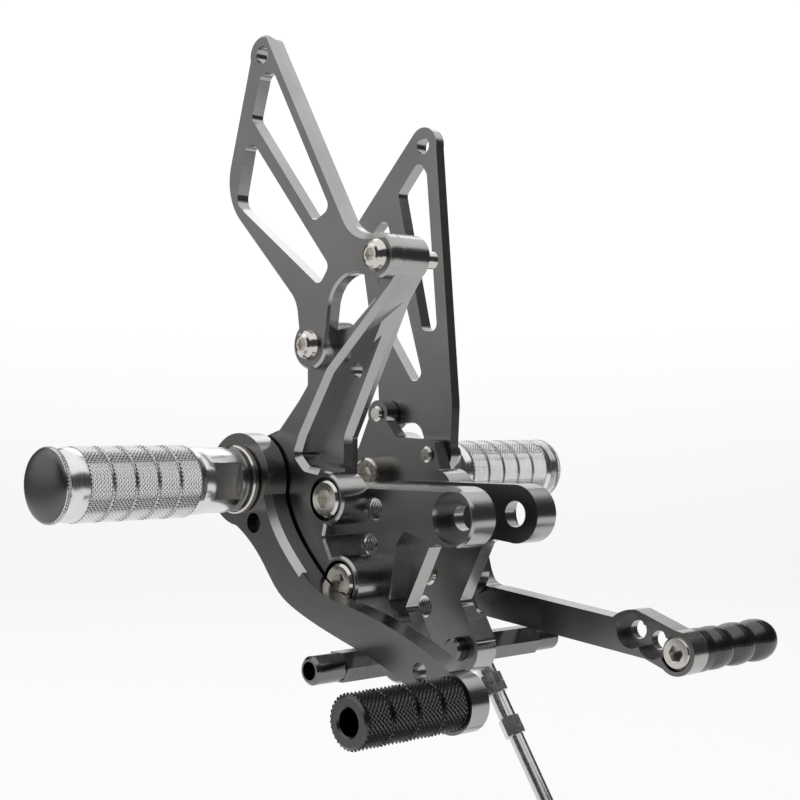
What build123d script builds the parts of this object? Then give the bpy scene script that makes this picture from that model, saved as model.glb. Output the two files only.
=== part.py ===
from build123d import *
import os

os.makedirs("parts", exist_ok=True)

# Everything is in millimetres. X is forward, Y is to the rider's left and Z is up.
# The origin is on the upper frame bolt, midway between the two halves of the set.
# Outlines are drawn from the footpeg axis, which is the pivot of both levers.
peg_x = -82.8
peg_z = 11.0
brake = -1
shift = 1

# Layers of each half, as distances from the middle plane
base_in = 10.5
base_thick = 10.5
base_out = base_in + base_thick
bracket_thick = 12.0
bracket_out = base_out + bracket_thick
heel_thick = 5.0
heel_out = bracket_out + heel_thick
lever_gap = 1.0
lever_in = bracket_out + lever_gap
lever_thick = 8.0
lever_out = lever_in + lever_thick
side_gap = 0.3
peg_in = 46.8
peg_out = 121.5

# Clearances
bolt_play = 0.2
thread_play = 0.05
running_play = 0.05
press_play = 0.02

# Screws
m8_r = 4.0
m8_head_r = 6.5
m8_head_h = 8.0
m8_socket = 6.0
m6_r = 3.0
m6_head_r = 5.25
m6_head_h = 3.3
m6_socket = 4.0
m6_cap_r = 5.7
m6_cap_h = 4.4
m6_cap_socket = 5.0
m5_r = 2.5
m5_head_r = 4.25
m5_head_h = 4.6
head_chamfer = 0.8
socket_depth = 4.0

# Footpeg
pivot = (0, 0)
peg_r = 12.5
peg_groove_r = 12.0
peg_groove = 0.6
peg_neck_r = 11.6
cap_thick = 2.9
cap_in = peg_out - cap_thick
cap_neck_r = 10.6
cap_rise = 2.2
waist_length = 6.6
knurl_in = 67.5
knurl_out = cap_in - waist_length
knurl_bands = 5
peg_flats = 19.0
flats_in = 49.4
flats_out = 61.0
flats_r = 11.4
peg_foot_r = 10.4
peg_thread_depth = 22.0

# Pivot stack
collar_flange_r = 14.5
sleeve_r = 9.0
bush_r = 11.0
ring_r = 16.3
washer_r = 12.0
spacer_r = 11.2
ring_edge = 0.5
washer_split = 44.8

# Base plate
arm_at = (-peg_x, -peg_z)
arm_r = 10.0
arm_bore_r = 4.5
arm_recess_r = 8.6
arm_recess = 6.0
lug_at = (57.2, -59.2)
lug_r = 8.5
leg_thick = 6.0
top_chamfer = 1.6
upper_adjuster = (35.0, -6.1)
lower_adjuster = (42.0, -34.0)
spare_holes = [(46.8, -9.5), (44.4, -21.6), (39.8, -45.8)]
arm_top = arm_at[1] + arm_r
arm_under = arm_at[1] - arm_r
base_outline = [
    (29, arm_top), (arm_at[0], arm_top), (arm_at[0], arm_under), (73.5, -20), (68.5, -21.5), (57, -43),
    (58.6, -44), (66, -57), (50, -63), (31, -48), (26, -10),
]
leg_pocket = [
    (61, -16.2), (76.6, -20), (84, -30), (66, -47.2), (57, -47.2), (53.9, -40), (55.4, -31), (57.3, -21),
]

# Frame stud
stud_flats = 9.6
stud_r = 4.7
stud_hex_out = 48.0
stud_out = 60.0
stud_in = 6.0

# Step brackets
boss_r = 9.0
adjuster_recess_r = 7.5
adjuster_recess = 7.6
peg_boss_r = 15.0
upper_heel = (65.6, 74.5)
lower_heel = (32.5, 46.4)
upper_heel_r = 7.5
lower_heel_r = 8.3
web_depth = 7.5
web_step = 1.2
web_step_width = 2.5
web_rim = 2.0
web_edge = 2.2
web_edge_low = (38.6, 14.7)
web_edge_high = (63.8, 60.6)
web_edge_foot = (38.6, 4.5)
web_edge_bend = 8.0
web_hole_at = (43.4, 37.6)
web_hole_r = 2.4
brake_bracket_outline = [
    (60, 77), (60.5, 66), (59, 61.2), (48.2, 52.8), (41, 52), (30, 52), (25.5, 42), (25.5, 33), (21, 27.8),
    (10.5, 17.4), (-10, 11), (-9, -12), (34.5, -39), (42, -34), (34, -19), (37.5, -6.1), (38.6, 6.5),
    web_edge_low, web_edge_high, (72, 71),
]
brake_web = [
    (72, 67.8), (37.5, 37), (23.4, 15), (20.8, 9), (25, 5), (40, 2.8), (60, 2.8), (90, 55), (80, 66),
]
shift_plate_in = 26.5
shift_ear = (-0.4, 23.2)
shift_ear_r = 5.2
shift_front_heel = (26.0, 8.1)
shift_heel_r = 6.2
shift_bracket_outline = [
    (-12.5, 7), (shift_ear[0] - 4, shift_ear[1]), (shift_ear[0] + 3.4, shift_ear[1] - 1.2), (9.6, 14.4),
    (29, 13.6), (33.5, 0.5), (37, -6), (34.5, -19), (42, -34), (36, -40), (-8, -12),
]

# Heel plates, whose outlines begin and end on the round of the apex
upper_heel_stub = 9.5
heel_stub = 1.5
heel_hole_r = 3.15
apex_r = 7.0
brake_apex = (7.8, 148.7)
brake_apex_left = (brake_apex[0] - 5.8, brake_apex[1] + 2.3)
brake_apex_right = (brake_apex[0] + 5.9, brake_apex[1] + 3.7)
brake_heel_bend = (54.6, upper_heel[1] + upper_heel_r)
brake_heel_bend_r = 12.0
brake_heel_outline = [
    brake_apex_left, brake_apex_right, brake_heel_bend, (upper_heel[0], upper_heel[1] + upper_heel_r),
    (upper_heel[0], upper_heel[1] - upper_heel_r), (44.7, 72), (lower_heel[0] + lower_heel_r, lower_heel[1]),
    (lower_heel[0] - 5, lower_heel[1]), (25.4, 61.5), (-13.6, 100.3),
]
brake_heel_corners = [0, 0, brake_heel_bend_r, 0, 0, 12, 0, 0, 12, 20]
brake_upper_window = [(14.3, 141.5), (7.4, 142.5), (2.2, 127), (35, 87.9), (43, 91.8)]
brake_lower_window = [(3.9, 117.8), (-0.9, 118), (-6.4, 97.8), (37.6, 66.1), (42.6, 72.6)]
brake_lower_corners = [2, 2, 5, 2.8, 2.8]
shift_apex = (17.4, 124.2)
shift_heel_outline = [
    (shift_apex[0] - 5, shift_apex[1] + 4.9), (shift_apex[0] + 6.6, shift_apex[1] + 2.3), (32.5, 26.4),
    (shift_front_heel[0] + 5.6, shift_front_heel[1] + 2), (shift_front_heel[0] - 5.6, shift_front_heel[1]),
    (15.5, 20.2), (shift_ear[0] + 4, shift_ear[1] - 4), (shift_ear[0] - 5.6, shift_ear[1]), (-7, 38),
    (-18.5, 98),
]
shift_heel_corners = [0, 0, 20, 0, 0, 6, 0, 0, 12, 4]
shift_upper_window = [(15.4, 119.2), (4.2, 107.4), (17.2, 54.2), (24.8, 54.2), (19.4, 113.5)]
shift_lower_window = [(-2.4, 99.6), (-11.4, 92), (-1.4, 53), (12.6, 34.2), (16.8, 38)]
window_corner = 2.8
plate_edge = 0.8
bright_edge = 2.0

# Levers
brake_toe = (101.5, -66.5)
brake_toe_r = 9.6
brake_rod_at = (8.0, -15.0)
brake_rod_r = 3.5
brake_spare_at = (88.8, -58.0)
brake_spare_r = 3.0
lever_bright = 2.2
brake_lever_bend = (33.5, -30.6)
brake_lever_bright = [(27.2, -24.4), (19.6, -14.6), (15.6, -4.8)]
brake_lever_under = [
    (-8, -13.6), (2, -18.4), (12.3, -27.6), (21.9, -38.6), (32.2, -44.3), (53, -51.6), (82.2, -62.6),
]
brake_toe_peg_r = 8.6
brake_toe_peg_out = 84.8
brake_toe_bands = 4
toe_groove = 1.0
toe_groove_depth = 0.7
toe_bore_r = 4.2
toe_bore = 22.0
toe_recess_r = 6.0
toe_recess = 4.6
toe_bolt_out = 58.0
shift_toe_holes = [(113.6, -49.8), (122.2, -52.6), (131.7, -55.7)]
shift_toe = shift_toe_holes[2]
shift_lever_under = [(-9, -13), (2, -18), (9, -30), (14.5, -39)]
shift_lever_sole = [(20, -52.5), (44, -50), (119.4, -58.6), (shift_toe[0], shift_toe[1] - 7.4)]
shift_lever_pad = [(shift_toe[0] + 1.8, shift_toe[1] + 6.9), (116, -42.6)]
shift_lever_step = [(111, -43.2), (106, -45.8)]
shift_lever_rise = [(52.5, -39.8), (45.4, -37), (42.6, -29), (36, -19.5), (25, -11.5), (15.4, -5)]
shift_toe_r = 7.5
shift_toe_peg_r = 7.4
shift_toe_flange = 5.6
shift_toe_ribs = 3
shift_toe_rib = 13.1
shift_toe_notch = 2.2

# Shift rod
rod_eye_at = (20.0, -45.5)
rod_eye_r = 8.5
rod_eye_width = 6.5
rod_ball_r = 6.0
rod_ball_width = 8.0
rod_y = lever_out + rod_ball_width / 2
rod_fall = 56.8
rod_length = 125.0
rod_r = 2.75
rod_shank_r = 3.6
rod_shank_end = 35.0
rod_nut_flats = 8.0
rod_nut = 3.5
rod_nut_gap = 0.2
rod_thread_r = 3.2
rod_hex_flats = 7.0
rod_hex_start = 52.3
rod_hex = 6.9
rod_lower_shank = 24.0
rod_engage = 12.0


def side_plane(side, y):
    """Plane at a distance from the middle, seen from the brake side, drawn from the footpeg axis."""
    return Plane(origin=(peg_x, side * y, peg_z), x_dir=(1, 0, 0), z_dir=(0, -1, 0))


def add_outline(points, corner):
    """Add a closed outline to the open sketch, with its corners rounded by one radius or by a list of them."""
    with BuildSketch(mode=Mode.PRIVATE) as outline:
        with BuildLine():
            FilletPolyline(*points, radius=corner, close=True)
        make_face()
    add(outline.sketch)


def add_layer(side, y, thick, points, corner, discs, bevel=0.0, mode=Mode.ADD):
    """Extrude an outline and its round bosses outwards from a distance y, with a bevelled outer edge."""
    with BuildSketch(side_plane(side, y)) as layer:
        add_outline(points, corner)
        for at, radius in discs:
            with Locations(at):
                Circle(radius)
    straight = thick - bevel
    extrude(layer.sketch, amount=-side * straight, mode=mode)
    if bevel:
        rim = layer.sketch.moved(Location((0, side * straight, 0)))
        extrude(rim, amount=-side * bevel, taper=45, mode=mode)


def bevel_along(side, path, size, mode=Mode.SUBTRACT):
    """Cut a bevel on an outer face along each run of a path that lies on its edge."""
    for run in path.edges():
        with BuildSketch(Plane(origin=run @ 0, x_dir=(0, 1, 0), z_dir=run % 0)) as wedge:
            with BuildLine():
                Polyline((-side * size, 0), (side * size, -2 * size), (side * size, 2 * size), close=True)
            make_face()
        if run.geom_type == GeomType.LINE:
            extrude(wedge.sketch, amount=run.length, mode=mode)
        else:
            sweep(wedge.sketch, path=run, mode=mode)


def drill(side, y, depth, places, radius):
    """Cut round holes inwards from a distance y."""
    with BuildSketch(side_plane(side, y)) as holes:
        with Locations(*places):
            Circle(radius)
    extrude(holes.sketch, amount=side * depth, mode=Mode.SUBTRACT)


def cut_hex(side, y, depth, at, flats):
    """Cut a hexagonal socket from a distance y, inwards where the depth is positive."""
    with BuildSketch(side_plane(side, y)) as socket:
        with Locations(at):
            RegularPolygon(radius=flats / 2, side_count=6, major_radius=False)
    extrude(socket.sketch, amount=side * depth, mode=Mode.SUBTRACT)


def add_turned(side, at, profile):
    """Turn a profile of radius and distance from the middle about a crosswise axis."""
    centre = (peg_x + at[0], 0, peg_z + at[1])
    with BuildSketch(Plane(origin=centre, x_dir=(1, 0, 0), z_dir=(0, 0, 1))) as section:
        with BuildLine():
            Polyline(*[(radius, side * y) for radius, y in profile], close=True)
        make_face()
    revolve(section.sketch, axis=Axis(centre, (0, 1, 0)))


def add_cap_screw(side, at, seat, tip, shank_r, head_r, head_h, socket):
    """Add a cap screw whose head stands on its seat, outboard or inboard, away from its tip."""
    out = 1 if seat > tip else -1
    top = seat + out * head_h
    profile = [
        (0, tip), (shank_r - head_chamfer, tip), (shank_r, tip + out * head_chamfer), (shank_r, seat),
        (head_r, seat), (head_r, top - out * head_chamfer), (head_r - head_chamfer, top), (0, top),
    ]
    add_turned(side, at, profile)
    cut_hex(side, top, out * socket_depth, at, socket)


def add_button_screw(side, at, seat, tip):
    """Add a button head screw with a domed head."""
    top = seat + m6_head_h
    profile = [
        (0, tip), (m6_r - head_chamfer, tip), (m6_r, tip + head_chamfer), (m6_r, seat), (m6_head_r, seat),
        (m6_head_r, seat + 0.7), (m6_head_r - 0.6, seat + 1.9), (m6_head_r - 1.6, seat + 2.9), (2.7, top),
        (0, top),
    ]
    add_turned(side, at, profile)
    cut_hex(side, top, 2.2, at, m6_socket)


# Base plates
def base_plate(side):
    """Plate that bolts to the motorcycle, with the upper arm, the leg and the lower lug."""
    with BuildPart() as plate:
        add_layer(side, base_in, base_thick, base_outline, 1.5, [(arm_at, arm_r), (lug_at, lug_r)], plate_edge)
        corner = (peg_x + base_outline[0][0] - 5, side * base_out, peg_z + base_outline[0][1])
        with BuildSketch(Plane(origin=corner, x_dir=(0, 1, 0), z_dir=(1, 0, 0))):
            with BuildLine():
                Polyline((0, 0), (-side * top_chamfer, 0), (0, -top_chamfer), close=True)
            make_face()
        extrude(amount=arm_at[0] - base_outline[0][0] + arm_r, mode=Mode.SUBTRACT)
        with BuildSketch(side_plane(side, base_out)):
            add_outline(leg_pocket, 2.5)
        extrude(amount=side * (base_thick - leg_thick), mode=Mode.SUBTRACT)
        drill(side, base_out, base_thick, [arm_at], arm_bore_r)
        drill(side, base_out, arm_recess, [arm_at], arm_recess_r)
        drill(side, base_out, base_thick, [lug_at], m8_r + bolt_play)
        drill(side, base_out, base_thick, spare_holes, m8_r)
        drill(side, base_out, base_thick, [upper_adjuster, lower_adjuster], m8_r + thread_play)
    return plate


def adjuster_bolts(side):
    """Two cap screws that hold a step bracket on its base plate."""
    seat = bracket_out - adjuster_recess
    with BuildPart() as bolts:
        for at in (upper_adjuster, lower_adjuster):
            add_cap_screw(side, at, seat, base_in - 1.0, m8_r, m8_head_r, m8_head_h, m8_socket)
    return bolts


def frame_stud(side):
    """Long headed stud through the lower lug, on which the lever comes to rest."""
    with BuildPart() as stud:
        profile = [
            (0, stud_in), (m8_r - head_chamfer, stud_in), (m8_r, stud_in + head_chamfer), (m8_r, stud_hex_out),
            (stud_r, stud_hex_out), (stud_r, stud_out - 1), (stud_r - 1, stud_out), (0, stud_out),
        ]
        add_turned(side, lug_at, profile)
        with BuildSketch(side_plane(side, base_out)):
            with Locations(lug_at):
                RegularPolygon(radius=stud_flats / 2, side_count=6, major_radius=False)
        extrude(amount=-side * (stud_hex_out - base_out))
        drill(side, stud_out, 8.0, [lug_at], m6_r)
    return stud


# Step brackets
def finish_bracket(side):
    """Cut the footpeg hole and the adjuster seats that both step brackets share."""
    seats = [upper_adjuster, lower_adjuster]
    drill(side, bracket_out, bracket_thick, [pivot], m8_r + bolt_play)
    drill(side, bracket_out, bracket_thick, seats, m8_r + bolt_play)
    drill(side, bracket_out, adjuster_recess, seats, adjuster_recess_r)


with BuildPart() as brake_step_bracket:
    heel_bosses = [(upper_heel, upper_heel_r), (lower_heel, lower_heel_r)]
    bolt_bosses = [(upper_adjuster, boss_r), (lower_adjuster, boss_r), (pivot, peg_boss_r)]
    bosses = heel_bosses + bolt_bosses
    add_layer(brake, base_out, bracket_thick, brake_bracket_outline, 1.5, bosses, plate_edge)
    web_cuts = [(web_rim, web_rim, 45), (0, web_depth - web_step, 0), (-web_step_width, web_depth, 0)]
    for grow, cut_depth, slope in web_cuts:
        with BuildSketch(side_plane(brake, bracket_out)):
            add_outline(brake_web, 2.0)
            if grow:
                offset(amount=grow)
            with Locations(upper_heel):
                Circle(upper_heel_r, mode=Mode.SUBTRACT)
            with Locations(upper_adjuster):
                Circle(boss_r, mode=Mode.SUBTRACT)
        extrude(amount=brake * cut_depth, taper=slope, mode=Mode.SUBTRACT)
    # The bevel on the free side of the web ends where it meets the rib
    with BuildLine(side_plane(brake, bracket_out - web_depth)) as web_side:
        FilletPolyline(web_edge_foot, web_edge_low, web_edge_high, radius=web_edge_bend)
    with BuildPart(mode=Mode.PRIVATE) as web_bevel:
        bevel_along(brake, web_side, web_edge, Mode.ADD)
        with BuildSketch(side_plane(brake, bracket_out)):
            add_outline(brake_web, 2.0)
        extrude(amount=brake * bracket_thick, mode=Mode.INTERSECT)
    add(web_bevel.part, mode=Mode.SUBTRACT)
    drill(brake, bracket_out, bracket_thick, [web_hole_at], web_hole_r)
    drill(brake, bracket_out, bracket_thick, [upper_heel, lower_heel], m6_r + thread_play)
    finish_bracket(brake)

with BuildPart() as shift_step_bracket:
    thin = bracket_out - shift_plate_in
    ears = [(shift_ear, shift_ear_r), (pivot, peg_boss_r), (upper_adjuster, boss_r), (lower_adjuster, boss_r)]
    add_layer(shift, shift_plate_in, thin, shift_bracket_outline, 1.5, ears, plate_edge)
    with BuildSketch(side_plane(shift, base_out)):
        with Locations(upper_adjuster, lower_adjuster):
            Circle(boss_r)
    extrude(amount=-shift * bracket_thick)
    drill(shift, bracket_out, bracket_thick, [shift_ear, shift_front_heel], m6_r + thread_play)
    finish_bracket(shift)


# Heel plates
with BuildPart() as brake_heel_plate:
    plate_discs = [(brake_apex, apex_r), (upper_heel, upper_heel_r), (lower_heel, lower_heel_r)]
    add_layer(brake, bracket_out, heel_thick, brake_heel_outline, brake_heel_corners, plate_discs, plate_edge)
    add_layer(brake, bracket_out, heel_thick, brake_upper_window, window_corner, [], mode=Mode.SUBTRACT)
    add_layer(brake, bracket_out, heel_thick, brake_lower_window, brake_lower_corners, [], mode=Mode.SUBTRACT)
    # The bright bevel runs past both ends, where the rounds of the plate fall away from it
    bevel_way = (Vector(*brake_apex_right) - Vector(*brake_heel_bend)).normalized()
    bevel_start = Vector(*brake_apex_right) + bevel_way * apex_r
    bevel_end = (upper_heel[0] + upper_heel_r, brake_heel_bend[1])
    with BuildLine(side_plane(brake, heel_out)) as bright_side:
        FilletPolyline((bevel_start.X, bevel_start.Y), brake_heel_bend, bevel_end, radius=brake_heel_bend_r)
    bevel_along(brake, bright_side, bright_edge)
    drill(brake, heel_out, heel_thick, [brake_apex, upper_heel, lower_heel], heel_hole_r)

with BuildPart() as shift_heel_plate:
    plate_discs = [(shift_apex, apex_r), (shift_ear, shift_heel_r), (shift_front_heel, shift_heel_r)]
    add_layer(shift, bracket_out, heel_thick, shift_heel_outline, shift_heel_corners, plate_discs, plate_edge)
    for window in (shift_upper_window, shift_lower_window):
        add_layer(shift, bracket_out, heel_thick, window, window_corner, [], mode=Mode.SUBTRACT)
    drill(shift, heel_out, heel_thick, [shift_apex, shift_ear, shift_front_heel], heel_hole_r)

with BuildPart() as brake_heel_bolts:
    add_button_screw(brake, upper_heel, heel_out, base_out - upper_heel_stub)
    add_button_screw(brake, lower_heel, heel_out, base_out - heel_stub)

with BuildPart() as shift_heel_bolts:
    for heel_at in (shift_ear, shift_front_heel):
        add_button_screw(shift, heel_at, heel_out, shift_plate_in - heel_stub)


# Footpegs and their pivots
def footpeg(side):
    """Turned peg with knurl bands, a necked end disc and a tapped inner end."""
    band = (knurl_out - knurl_in) / knurl_bands
    with BuildPart() as peg:
        profile = [
            (0, peg_in), (peg_foot_r, peg_in), (flats_r, flats_in), (flats_r, flats_out),
            (peg_neck_r, flats_out), (peg_neck_r, knurl_in), (peg_r, knurl_in),
        ]
        for groove in range(1, knurl_bands):
            middle = knurl_in + groove * band
            start = middle - peg_groove / 2
            end = middle + peg_groove / 2
            profile += [(peg_r, start), (peg_groove_r, start), (peg_groove_r, end), (peg_r, end)]
        profile += [
            (peg_r, knurl_out), (peg_r - 0.3, knurl_out), (peg_r - 0.2, cap_in - 4.8),
            (peg_r - 0.5, cap_in - 3.4), (peg_r - 1.1, cap_in - 2.1), (cap_neck_r, cap_in - 1),
            (cap_neck_r, cap_in), (0, cap_in),
        ]
        add_turned(side, pivot, profile)
        for flat in (-1, 1):
            with BuildSketch(side_plane(side, flats_in)):
                with Locations((flat * (peg_flats / 2 + 5), 0)):
                    Rectangle(10, 40)
            extrude(amount=-side * (flats_out - flats_in), mode=Mode.SUBTRACT)
        drill(side, peg_in + peg_thread_depth, peg_thread_depth, [pivot], m8_r + thread_play)
    return peg


def end_cap(side):
    """Domed disc with a knurled rim on the outer end of the footpeg."""
    with BuildPart() as cap:
        profile = [
            (0, cap_in), (cap_neck_r, cap_in), (peg_r, cap_in + 0.6), (peg_r, peg_out - 1),
            (peg_r - 0.4, peg_out - 0.8), (peg_r - 0.8, peg_out), (peg_r - 2.1, peg_out + 0.7),
            (peg_r - 4.9, peg_out + 1.5), (peg_r - 7.1, peg_out + 1.9), (0, peg_out + cap_rise),
        ]
        add_turned(side, pivot, profile)
    return cap


def peg_ring(side, start, end, radius):
    """Turned ring with broken edges between the lever and the footpeg."""
    inner = m8_r + bolt_play
    edge = radius - ring_edge
    with BuildPart() as ring:
        profile = [
            (inner, start), (edge, start), (radius, start + ring_edge), (radius, end - ring_edge), (edge, end),
            (inner, end),
        ]
        add_turned(side, pivot, profile)
    return ring


def pivot_collar(side):
    """Flanged sleeve on which the lever turns."""
    inner = m8_r + bolt_play
    face = lever_in - side_gap
    with BuildPart() as collar:
        profile = [
            (inner, bracket_out), (collar_flange_r, bracket_out), (collar_flange_r, face), (sleeve_r, face),
            (sleeve_r, lever_out + side_gap), (inner, lever_out + side_gap),
        ]
        add_turned(side, pivot, profile)
    return collar


def peg_bolt(side, seat):
    """Cap screw from the inner face of the step bracket that holds the footpeg."""
    with BuildPart() as bolt:
        tip = peg_in + peg_thread_depth - 2
        add_cap_screw(side, pivot, seat, tip, m8_r, m8_head_r, m8_head_h - 1, m8_socket)
    return bolt


def lever_bush(side):
    """Thin plain bearing pressed into the lever."""
    with BuildPart() as bush:
        inner = sleeve_r + running_play
        outer = bush_r - press_play
        add_turned(side, pivot, [(inner, lever_in), (outer, lever_in), (outer, lever_out), (inner, lever_out)])
    return bush


# Levers
with BuildPart() as brake_lever:
    with BuildSketch(side_plane(brake, lever_in)):
        with BuildLine():
            lower = Spline(*brake_lever_under)
            toe = Line(lower @ 1, (brake_toe[0] - 5.5, brake_toe[1] - 8.3))
            across = Line(toe @ 1, (brake_toe[0], brake_toe[1] + 10))
            upper = Spline(across @ 1, (84.4, -48.4), (56.8, -40.3), (42.2, -36.5), brake_lever_bend)
            bright = Spline(upper @ 1, *brake_lever_bright)
            close = Polyline(bright @ 1, (0, 0), lower @ 0)
        make_face()
        with Locations(pivot):
            Circle(ring_r)
        with Locations(brake_toe):
            Circle(brake_toe_r)
    extrude(amount=-brake * lever_thick)
    with BuildLine(side_plane(brake, lever_out)) as bright_path:
        Spline(brake_lever_bend, *brake_lever_bright)
    bevel_along(brake, bright_path, lever_bright)
    drill(brake, lever_out, lever_thick, [pivot], bush_r)
    drill(brake, lever_out, lever_thick, [brake_rod_at], brake_rod_r)
    drill(brake, lever_out, lever_thick, [brake_spare_at], brake_spare_r)
    drill(brake, lever_out, lever_thick, [brake_toe], m6_r + bolt_play)
    drill(brake, lever_in + toe_recess, toe_recess, [brake_toe], toe_recess_r)

with BuildPart() as shift_lever:
    with BuildSketch(side_plane(shift, lever_in)):
        with BuildLine():
            lower = Spline(*shift_lever_under)
            sole = Polyline(lower @ 1, *shift_lever_sole)
            pad = Polyline(sole @ 1, *shift_lever_pad)
            step = Spline(pad @ 1, *shift_lever_step)
            top = Line(step @ 1, shift_lever_rise[0])
            rise = Spline(*shift_lever_rise)
            close = Polyline(rise @ 1, (0, 0), lower @ 0)
        make_face()
        with Locations(pivot):
            Circle(ring_r)
        with Locations(shift_toe):
            Circle(shift_toe_r)
        with Locations(rod_eye_at):
            Circle(rod_eye_r)
    extrude(amount=-shift * lever_thick)
    drill(shift, lever_out, lever_thick, [pivot], bush_r)
    drill(shift, lever_out, lever_thick, shift_toe_holes, m6_r + bolt_play)
    drill(shift, lever_in + toe_recess, toe_recess, shift_toe_holes, toe_recess_r)
    drill(shift, lever_out, lever_thick, [rod_eye_at], m5_r + thread_play)

# Toe pegs
with BuildPart() as brake_toe_peg:
    toe_band = (brake_toe_peg_out - lever_out) / brake_toe_bands
    toe_profile = [(m6_r + thread_play, lever_out), (brake_toe_peg_r, lever_out)]
    for groove in range(1, brake_toe_bands):
        start = lever_out + groove * toe_band - toe_groove / 2
        inset = brake_toe_peg_r - toe_groove_depth
        toe_profile += [(brake_toe_peg_r, start), (inset, start)]
        toe_profile += [(inset, start + toe_groove), (brake_toe_peg_r, start + toe_groove)]
    toe_profile += [
        (brake_toe_peg_r, brake_toe_peg_out - 0.8), (brake_toe_peg_r - 0.8, brake_toe_peg_out),
        (toe_bore_r + 0.6, brake_toe_peg_out), (toe_bore_r, brake_toe_peg_out - 0.6),
        (toe_bore_r, brake_toe_peg_out - toe_bore), (m6_r + thread_play, brake_toe_peg_out - toe_bore),
    ]
    add_turned(brake, brake_toe, toe_profile)

with BuildPart() as shift_toe_peg:
    rib_start = lever_out + shift_toe_flange
    rib_r = shift_toe_peg_r
    hole_r = m6_r + thread_play
    rib_profile = [(0, toe_bolt_out + 1), (hole_r, toe_bolt_out + 1), (hole_r, lever_out)]
    rib_profile += [(rib_r - 0.6, lever_out), (rib_r, lever_out + 0.6)]
    rib_profile += [(rib_r, rib_start - 0.8), (rib_r - shift_toe_notch, rib_start)]
    # Each rib is a barrel: its sides fall by shares of the notch at shares of its length
    barrel = [
        (0.5, 0.07), (0.2, 0.18), (0.04, 0.34), (0, 0.5), (0.06, 0.66), (0.24, 0.8), (0.55, 0.92), (1, 0.98),
    ]
    for rib in range(shift_toe_ribs):
        start = rib_start + rib * shift_toe_rib
        rib_profile += [(rib_r - fall * shift_toe_notch, start + at * shift_toe_rib) for fall, at in barrel]
    rib_profile += [(0, rib_start + (shift_toe_ribs - 0.02) * shift_toe_rib)]
    add_turned(shift, shift_toe, rib_profile)

with BuildPart() as brake_toe_bolt:
    toe_seat = lever_in + toe_recess
    add_cap_screw(brake, brake_toe, toe_seat, toe_bolt_out, m6_r, m6_cap_r, m6_cap_h, m6_cap_socket)

with BuildPart() as shift_toe_bolt:
    add_cap_screw(shift, shift_toe, toe_seat, toe_bolt_out, m6_r, m6_cap_r, m6_cap_h, m6_cap_socket)

# Shift rod
rod_start = Vector(peg_x + rod_eye_at[0], rod_y, peg_z + rod_eye_at[1])
rod_way = Vector(1, 0, 0).rotate(Axis.Y, rod_fall)


def rod_plane(along):
    """Plane across the rod at a distance from its upper eye."""
    return Plane(origin=rod_start + rod_way * along, x_dir=(0, 1, 0), z_dir=rod_way)


def add_rod_piece(start, end, radius):
    """Add a round length to the part that is open."""
    with BuildSketch(rod_plane(start)) as section:
        Circle(radius)
    extrude(section.sketch, amount=end - start)


def add_rod_hex(start, end, flats):
    """Add a hexagonal length to the part that is open."""
    with BuildSketch(rod_plane(start)) as section:
        RegularPolygon(radius=flats / 2, side_count=6, major_radius=False)
    extrude(section.sketch, amount=end - start)


def eye_plane(along):
    """Plane through an eye of the rod, square to the bolt."""
    return Plane(origin=rod_start + rod_way * along, x_dir=(1, 0, 0), z_dir=(0, -1, 0))


def rod_end(along, shank_to):
    """Eye with a tapped shank that runs towards the middle of the rod."""
    with BuildPart() as end:
        with BuildSketch(eye_plane(along)):
            Circle(rod_eye_r)
        extrude(amount=rod_eye_width / 2, both=True)
        add_rod_piece(min(along, shank_to), max(along, shank_to), rod_shank_r)
        with BuildSketch(rod_plane(shank_to)):
            Circle(m5_r + thread_play)
        inward = 1 if along > shank_to else -1
        extrude(amount=inward * (rod_engage + 1), mode=Mode.SUBTRACT)
        with Locations(Location(eye_plane(along))):
            Sphere(rod_ball_r + running_play, mode=Mode.SUBTRACT)
    return end


def rod_ball(along):
    """Drilled ball with flat sides."""
    with BuildPart() as ball:
        with Locations(Location(eye_plane(along))):
            Sphere(rod_ball_r)
        with BuildSketch(eye_plane(along)):
            Circle(rod_ball_r + 1)
        extrude(amount=rod_ball_width / 2, both=True, mode=Mode.INTERSECT)
        with BuildSketch(eye_plane(along)):
            Circle(m5_r + thread_play)
        extrude(amount=rod_ball_width, both=True, mode=Mode.SUBTRACT)
    return ball


rod_lower_end = rod_length - rod_lower_shank
rod_body_end = rod_lower_end - 2 * rod_nut

rod_thread_start = rod_shank_end + 2 * rod_nut + 2 * rod_nut_gap

with BuildPart() as shift_rod:
    add_rod_piece(rod_shank_end - rod_engage, rod_hex_start, m5_r)
    add_rod_piece(rod_thread_start, rod_hex_start, rod_thread_r)
    add_rod_hex(rod_hex_start, rod_hex_start + rod_hex, rod_hex_flats)
    add_rod_piece(rod_hex_start + rod_hex, rod_body_end, rod_r)
    add_rod_piece(rod_body_end, rod_lower_end + rod_engage, m5_r)

with BuildPart() as rod_lock_nuts:
    nut_starts = [rod_shank_end, rod_shank_end + rod_nut + rod_nut_gap, rod_lower_end - rod_nut]
    for nut_start in nut_starts:
        add_rod_hex(nut_start, nut_start + rod_nut, rod_nut_flats)
    for nut_start in nut_starts:
        with BuildSketch(rod_plane(nut_start)):
            Circle(m5_r + thread_play)
        extrude(amount=rod_nut, mode=Mode.SUBTRACT)

with BuildPart() as rod_end_bolt:
    bolt_seat = lever_out + rod_ball_width
    add_cap_screw(shift, rod_eye_at, bolt_seat, lever_in + 0.5, m5_r, m5_head_r, m5_head_h, m6_socket)

upper_rod_end = rod_end(0, rod_shank_end)
lower_rod_end = rod_end(rod_length, rod_lower_end)
upper_rod_ball = rod_ball(0)
lower_rod_ball = rod_ball(rod_length)

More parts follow.
